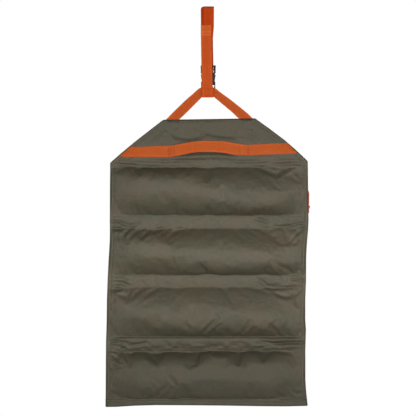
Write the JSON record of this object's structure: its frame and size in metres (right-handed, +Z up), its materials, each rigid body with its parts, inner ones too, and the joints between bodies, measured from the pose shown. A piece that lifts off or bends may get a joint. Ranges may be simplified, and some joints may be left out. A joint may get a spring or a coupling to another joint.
{
  "type": "camp kitchen utensil roll",
  "caption": "Hanging padded fabric roll with a tapered top, zipped pockets behind padded rows, webbing bridle, buckled hanging strap and carry handle, for camp kitchen utensils.",
  "frame": {"origin": "inside top of the hang loop, where the strap bears on the hook or branch that holds it", "axes": "+Z up along the hanging roll, +Y from the padded outer side towards the zipped pockets, +X to the right of the outer side seen from the front"},
  "size_m": [0.4629, 0.058, 0.9196],
  "materials": {
    "olive_fabric": "woven olive-grey polyester with a soft sheen",
    "lining_fabric": "plain woven dark lining",
    "pocket_mesh": "dark knitted mesh",
    "orange_webbing": "ribbed burnt-orange webbing",
    "orange_cord": "braided burnt-orange cord",
    "zip_tape": "black woven tape with a nylon coil",
    "black_plastic": "moulded acetal, satin",
    "zip_metal": "black enamelled zinc"
  },
  "bodies": {
    "header": {"header_panel": "olive_fabric", "header_lining": "lining_fabric", "bridle_webbing": "orange_webbing", "strap_riser": "orange_webbing", "strap_top_loop": "orange_webbing", "strap_back_leg": "orange_webbing", "handle_webbing": "orange_webbing", "buckle_socket": "black_plastic"},
    "row_1": {"row_cover_1": "olive_fabric", "row_lining_1": "lining_fabric", "pocket_1": "pocket_mesh", "zip_upper_tape_1": "zip_tape", "zip_lower_tape_1": "zip_tape"},
    "slider_1": {"slider_1": "zip_metal"},
    "pull_1": {"pull_cord_1": "orange_cord", "pull_knot_1": "orange_cord"},
    "row_2": {"row_cover_2": "olive_fabric", "row_lining_2": "lining_fabric", "pocket_2": "pocket_mesh", "zip_upper_tape_2": "zip_tape", "zip_lower_tape_2": "zip_tape"},
    "slider_2": {"slider_2": "zip_metal"},
    "pull_2": {"pull_cord_2": "orange_cord", "pull_knot_2": "orange_cord"},
    "row_3": {"row_cover_3": "olive_fabric", "row_lining_3": "lining_fabric", "pocket_3": "pocket_mesh", "zip_upper_tape_3": "zip_tape", "zip_lower_tape_3": "zip_tape"},
    "slider_3": {"slider_3": "zip_metal"},
    "pull_3": {"pull_cord_3": "orange_cord", "pull_knot_3": "orange_cord"},
    "row_4": {"row_cover_4": "olive_fabric", "row_lining_4": "lining_fabric", "pocket_4": "pocket_mesh", "zip_upper_tape_4": "zip_tape", "zip_lower_tape_4": "zip_tape"},
    "slider_4": {"slider_4": "zip_metal"},
    "pull_4": {"pull_cord_4": "orange_cord", "pull_knot_4": "orange_cord"},
    "buckle_plug": {"buckle_plug": "black_plastic"},
    "prong_left": {"prong_left": "black_plastic"},
    "prong_right": {"prong_right": "black_plastic"}
  },
  "joints": [
    {"name": "fold_1", "type": "hinge", "parent": "header", "child": "row_1", "pos_m": [0, -0.0016, -0.367], "axis": [1, 0, 0], "range_deg": [-12, 60]},
    {"name": "fold_2", "type": "hinge", "parent": "row_1", "child": "row_2", "pos_m": [0, -0.0016, -0.496], "axis": [1, 0, 0], "range_deg": [-12, 70]},
    {"name": "fold_3", "type": "hinge", "parent": "row_2", "child": "row_3", "pos_m": [0, -0.0016, -0.634], "axis": [1, 0, 0], "range_deg": [-12, 80]},
    {"name": "fold_4", "type": "hinge", "parent": "row_3", "child": "row_4", "pos_m": [0, -0.0016, -0.774], "axis": [1, 0, 0], "range_deg": [-12, 90]},
    {"name": "zip_slide_1", "type": "slide", "parent": "row_1", "child": "slider_1", "axis": [1, 0, 0], "range_m": [-0.424, 0]},
    {"name": "zip_slide_2", "type": "slide", "parent": "row_2", "child": "slider_2", "axis": [1, 0, 0], "range_m": [-0.424, 0]},
    {"name": "zip_slide_3", "type": "slide", "parent": "row_3", "child": "slider_3", "axis": [1, 0, 0], "range_m": [-0.424, 0]},
    {"name": "zip_slide_4", "type": "slide", "parent": "row_4", "child": "slider_4", "axis": [1, 0, 0], "range_m": [-0.424, 0]},
    {"name": "pull_swing_1", "type": "hinge", "parent": "slider_1", "child": "pull_1", "pos_m": [0.213, 0.0103, -0.389], "axis": [1, 0, 0], "range_deg": [0, 75]},
    {"name": "pull_swing_2", "type": "hinge", "parent": "slider_2", "child": "pull_2", "pos_m": [0.213, 0.0103, -0.518], "axis": [1, 0, 0], "range_deg": [0, 75]},
    {"name": "pull_swing_3", "type": "hinge", "parent": "slider_3", "child": "pull_3", "pos_m": [0.213, 0.0103, -0.656], "axis": [1, 0, 0], "range_deg": [0, 75]},
    {"name": "pull_swing_4", "type": "hinge", "parent": "slider_4", "child": "pull_4", "pos_m": [0.213, 0.0103, -0.796], "axis": [1, 0, 0], "range_deg": [0, 75]},
    {"name": "buckle_release", "type": "slide", "parent": "header", "child": "buckle_plug", "axis": [0, 0, 1], "range_m": [0, 0.03], "deforming": ["strap_back_leg", "prong_left", "prong_right"]},
    {"name": "prong_left_press", "type": "hinge", "parent": "buckle_plug", "child": "prong_left", "pos_m": [-0.0099, -0.0005, -0.1552], "axis": [0, -1, 0], "range_deg": [0, 8], "stiffness_Nm_per_rad": 0.05},
    {"name": "prong_right_press", "type": "hinge", "parent": "buckle_plug", "child": "prong_right", "pos_m": [0.0123, -0.0005, -0.1552], "axis": [0, 1, 0], "range_deg": [0, 8], "stiffness_Nm_per_rad": 0.05}
  ]
}
